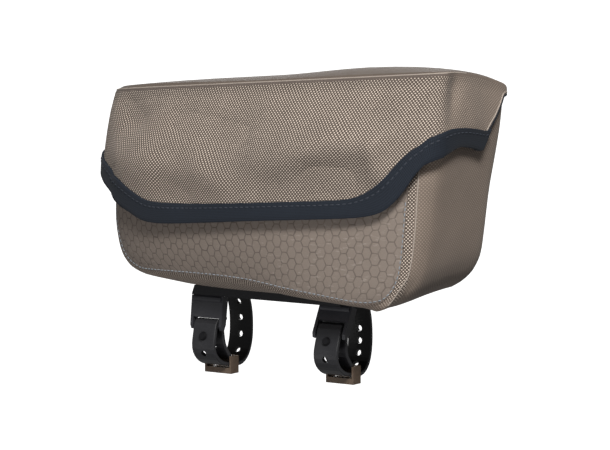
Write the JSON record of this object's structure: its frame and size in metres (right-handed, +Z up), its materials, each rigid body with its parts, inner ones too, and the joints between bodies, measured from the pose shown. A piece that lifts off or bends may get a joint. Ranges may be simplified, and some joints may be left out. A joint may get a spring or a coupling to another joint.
{
  "type": "top tube bag",
  "caption": "Soft wedge-shaped bag with a bound flap lid over a woven pouch, a base plate that sits on a bike's top tube, and buckled perforated rubber straps.",
  "frame": {"origin": "centre of the base plate's underside, where the bag sits on the bicycle's top tube", "axes": "+X along the tube to the bag's tall end, +Y away from the front that the flap closes over, +Z up"},
  "size_m": [0.2279, 0.0901, 0.1672],
  "materials": {
    "woven_fabric": "coarse grey-brown plain weave",
    "hexagon_fabric": "grey-brown cloth with a fine hexagon pattern",
    "navy_tape": "dark navy folded binding tape",
    "black_plastic": "black, satin",
    "black_rubber": "black, soft sheen"
  },
  "bodies": {
    "root": {"bag_body": "woven_fabric", "front_panel": "hexagon_fabric", "flap": "woven_fabric", "flap_binding": "navy_tape", "wing_binding": "navy_tape", "base_plate": "black_plastic", "strap_tail": "black_rubber", "strap_head": "black_rubber", "buckle_tail": "black_plastic", "buckle_head": "black_plastic", "stud_tail": "black_plastic", "stud_head": "black_plastic", "keeper_tail": "black_plastic", "keeper_head": "black_plastic"}
  },
  "joints": []
}
